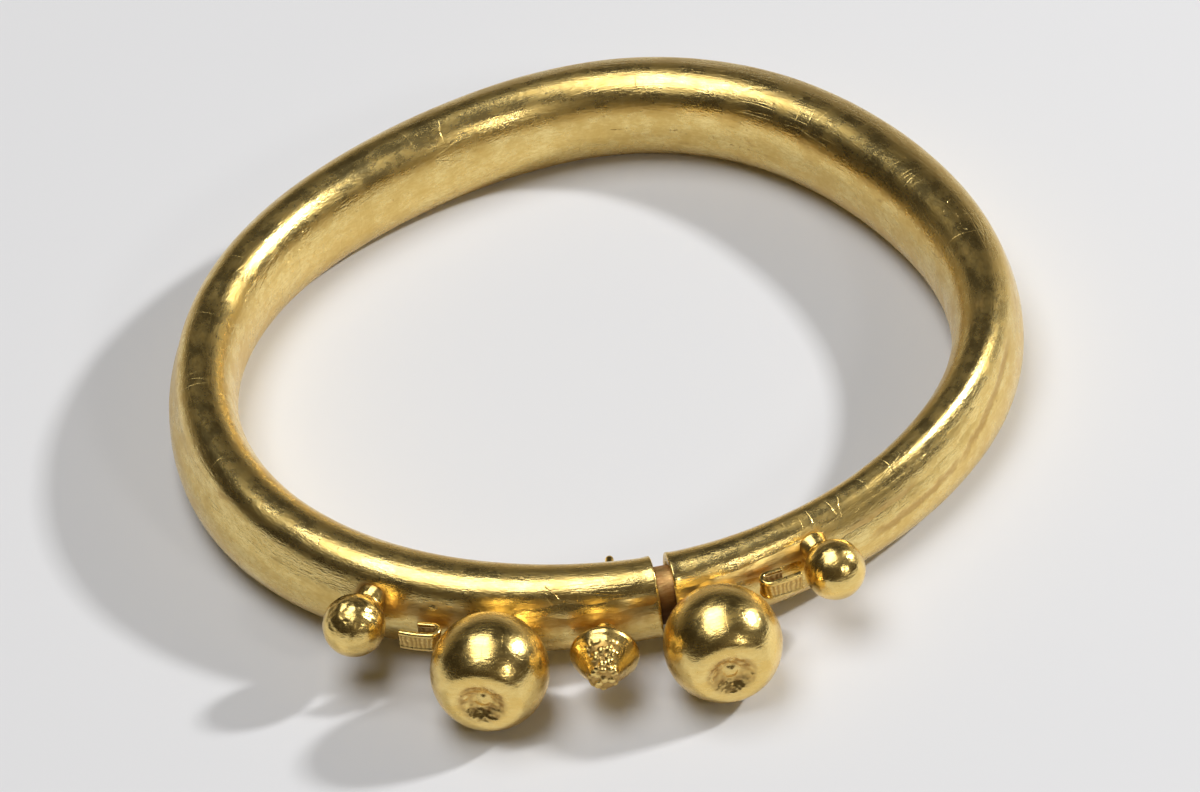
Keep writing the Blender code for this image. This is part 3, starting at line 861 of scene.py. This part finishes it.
def makeLoop(side):
    direction, rise, way = loopPlaces[side]
    direction = math.radians(direction)
    outward = tubeOutward(np.array(direction))
    along = np.array((-outward[1], outward[0], 0.0)) * way
    bend = (loop["slot"] + loop["thickness"]) / 2
    inner = loop["thickness"] / 2
    line = resampled([(loop["innerArm"], inner), (0.0, inner)], loop["rowStep"])
    line += [(-bend * math.sin(angle), inner + bend * (1 - math.cos(angle)))
             for angle in np.linspace(0, math.pi, 36)[1:]]
    line += resampled([(0.0, inner + 2 * bend), (loop["outerArm"], inner + 2 * bend)], loop["rowStep"])[1:]
    line = np.array(line)
    line[:, 1] += loop["bow"] * np.sin(line[:, 0] / loop["outerArm"] * math.pi * 0.8)
    tangent = np.gradient(line, axis=0)
    tangent /= np.linalg.norm(tangent, axis=1, keepdims=True)
    sideways = np.stack((-tangent[:, 1], tangent[:, 0]), -1)
    run = np.concatenate(((0.0,), np.cumsum(np.linalg.norm(np.diff(line, axis=0), axis=1))))
    halfHigh, halfThick = loop["height"] / 2, loop["thickness"] / 2
    rimMiddle = halfHigh - loop["rimRadius"]
    section = [(halfHigh * math.sin(angle), 1) for angle in np.linspace(-1.5, 1.5, 41)]
    section += [(level, -1) for level, _ in reversed(section)]
    rows, shaded = [], []
    for index in range(len(line)):
        row = []
        for level, face in section:
            fromRim = (abs(level) - rimMiddle) / loop["rimRadius"]
            power = 4 if fromRim > 0 and face < 0 else 2
            thick = loop["rimRadius"] * max(1 - abs(fromRim) ** power, 0.0) ** (1 / power)
            grooveShade = 0.0
            if abs(level) < rimMiddle:
                stray = noise.noise(Vector((run[index], level, face * mm)) / loop["straySize"])
                rib = 0.5 + 0.5 * math.cos(2 * math.pi * (run[index] / loop["ribPitch"] + 0.5 * stray))
                bead = 0.75 + 0.25 * math.cos(2 * math.pi * level / loop["ribPitch"] + 3 * stray)
                band = loop["band"] + loop["ribRise"] * rib * bead
                # Painted shade in the grooves between the ribs
                grooveShade = loop["ribShade"] * (1 - rib * bead) if band > thick else 0.0
                thick = max(thick, band)
            # painted shade below the middle of the front, and in the slot below its rim
            if face > 0:
                faceShade = loop["lowerShade"] if level < 0 else 0.0
            else:
                faceShade = loop["slotShade"] * min(max((rimMiddle - level) / rimMiddle, 0.0), 1.0)
            shaded.append(max(grooveShade, faceShade))
            flat = line[index] + sideways[index] * min(thick, halfThick) * face
            row.append(along * flat[0] + outward * flat[1] + up * level)
        rows.append(row)
    grid = np.array(rows)
    nearest = max(abs(rise) - loop["height"] / 2, 0.0)
    reach = wallReach(direction, nearest) + loop["clear"]
    base = tubeMiddle(np.array(direction)) + outward * reach + up * rise
    points = grid.reshape(-1, 3) + base
    ownShadeAndDirt["loop_" + side + "_strip"] = np.array(shaded)
    return newPiece("loop_" + side + "_strip", points, cappedFaces(len(line), len(section)),
                    grid.reshape(-1, 3), ornamentGold, "loop_" + side)


for side in loopPlaces:
    makeLoop(side)


# Painted shade where two pieces meet: how near each point is to another piece, which darkens and dulls the
# gold there; each piece's own painted shade and dirt is added
crevices = {"reach": 0.45 * mm, "darkening": 0.8}


def markShadeAndDirt():
    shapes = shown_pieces()
    trees = {}
    for piece in shapes:
        places = [piece.matrix_world @ vertex.co for vertex in piece.data.vertices]
        trees[piece.name] = BVHTree.FromPolygons(places, [face.vertices[:] for face in piece.data.polygons])
    for piece in shapes:
        others = [tree for name, tree in trees.items() if name != piece.name]
        values = np.zeros(len(piece.data.vertices), dtype=np.float32)
        for vertex in piece.data.vertices:
            place = piece.matrix_world @ vertex.co
            for tree in others:
                near = tree.find_nearest(place, crevices["reach"])
                if near[0] is not None:
                    values[vertex.index] = max(values[vertex.index], 1 - near[3] / crevices["reach"])
        shadeAndDirt = piece.data.attributes.new("shadeAndDirt", "FLOAT", "POINT")
        values = np.maximum(crevices["darkening"] * smoothStep(values, 0.0, 1.0), ownShadeAndDirt.get(piece.name, 0.0))
        shadeAndDirt.data.foreach_set("value", values.astype(np.float32))
    print("marked the crevices")


markShadeAndDirt()


# The table
table = {
    "size": 4.0, "below": 0.02 * mm, "colour": (0.795, 0.80, 0.82, 1.0), "roughness": 0.55, "specular": 0.2,
}


def makeTable():
    mesh = bpy.data.meshes.new("table_top")
    half = table["size"] / 2
    corners = [(-half, -half, 0), (half, -half, 0), (half, half, 0), (-half, half, 0)]
    mesh.from_pydata(corners, [], [(0, 1, 2, 3)])
    top = bpy.data.objects.new("table_top", mesh)
    bpy.context.scene.collection.objects.link(top)
    top.location.z = -table["below"]
    paper = bpy.data.materials.new("palePaper")
    paper.use_nodes = True
    shader = paper.node_tree.nodes["Principled BSDF"]
    shader.inputs["Base Color"].default_value = table["colour"]
    shader.inputs["Roughness"].default_value = table["roughness"]
    shader.inputs["Specular IOR Level"].default_value = table["specular"]
    mesh.materials.append(paper)


makeTable()

# Lights: a wide soft one overhead, a harder one from the right and behind, a small one in front
lights = {
    "overhead": {"towards": (-0.19, 0.01, 0.98), "distance": 0.9, "size": (0.80, 0.50), "power": 4.85,
                 "colour": (1.0, 1.0, 1.0)},
    "key": {"towards": (0.808, 0.187, 0.559), "distance": 1.0, "size": (0.085, 0.085), "power": 6.6,
            "colour": (1.0, 1.0, 1.0)},
    "front": {"towards": (0.55, -0.66, 0.52), "distance": 1.0, "size": (0.12, 0.12), "power": 0.8,
              "colour": (1.0, 0.97, 0.92)},
}
# A dark room, a little paler towards the camera, with a wall low down behind the bracelet
surroundings = {
    "room": (0.026, 0.021, 0.014, 1.0), "front": (0.075, 0.06, 0.04, 1.0), "wall": (0.54, 0.48, 0.38, 1.0),
    "wallBack": (0.25, 0.9), "wallDown": (0.5, 0.0),         # where each sets in and is full, from -1 to 1
    "frontNear": (0.2, -0.6), "frontRight": (-0.6, 0.3), "frontLeft": 0.25,
}


def makeLights():
    for name, plan in lights.items():
        lamp = bpy.data.lights.new(name, "AREA")
        lamp.shape = "RECTANGLE"
        lamp.size, lamp.size_y = plan["size"]
        lamp.energy = plan["power"]
        lamp.color = plan["colour"]
        light = bpy.data.objects.new(name, lamp)
        towards = Vector(plan["towards"]).normalized()
        light.location = towards * plan["distance"]
        light.rotation_euler = towards.to_track_quat("Z", "Y").to_euler()
        bpy.context.scene.collection.objects.link(light)
    world = bpy.data.worlds.new("room")
    world.use_nodes = True
    tree = world.node_tree
    parts = addNode(tree, "ShaderNodeSeparateXYZ")
    tree.links.new(addNode(tree, "ShaderNodeTexCoord").outputs["Generated"], parts.inputs["Vector"])
    low = addMath(tree, "MULTIPLY", addRamp(tree, parts.outputs["Y"], *surroundings["wallBack"]),
                  addRamp(tree, parts.outputs["Z"], *surroundings["wallDown"]))
    near = addMath(tree, "MULTIPLY", addRamp(tree, parts.outputs["Y"], *surroundings["frontNear"]),
                   addRamp(tree, parts.outputs["X"], *surroundings["frontRight"],
                           surroundings["frontLeft"], 1.0))
    room = addMix(tree, near, surroundings["room"], surroundings["front"])
    tree.links.new(addMix(tree, low, room, surroundings["wall"]), tree.nodes["Background"].inputs["Color"])
    bpy.context.scene.world = world


makeLights()

# The camera: 40 degrees above the table, turned 6 degrees about its own line of sight
shot = {"elevation": 40.0, "roll": 6.0, "distance": 450.0 * mm, "target": (0.02 * mm, 2.41 * mm, 0.0),
        "sensor": 36.0, "lens": 142.425}


def makeCamera():
    camera = bpy.data.objects.new("camera", bpy.data.cameras.new("camera"))
    camera.data.sensor_width = shot["sensor"]
    camera.data.lens = shot["lens"]
    camera.data.clip_start = 0.01
    elevation, roll = math.radians(shot["elevation"]), math.radians(shot["roll"])
    back = Vector((0.0, -math.cos(elevation), math.sin(elevation)))
    across = Vector((1.0, 0.0, 0.0))
    over = back.cross(across)
    right = across * math.cos(roll) - over * math.sin(roll)
    above = across * math.sin(roll) + over * math.cos(roll)
    place = Matrix((right, above, back)).transposed().to_4x4()
    place.translation = Vector(shot["target"]) + back * shot["distance"]
    camera.matrix_world = place
    bpy.context.scene.collection.objects.link(camera)
    bpy.context.scene.camera = camera
    bpy.context.scene.view_settings.view_transform = "Standard"


makeCamera()
print("set the table, the lights and the camera")
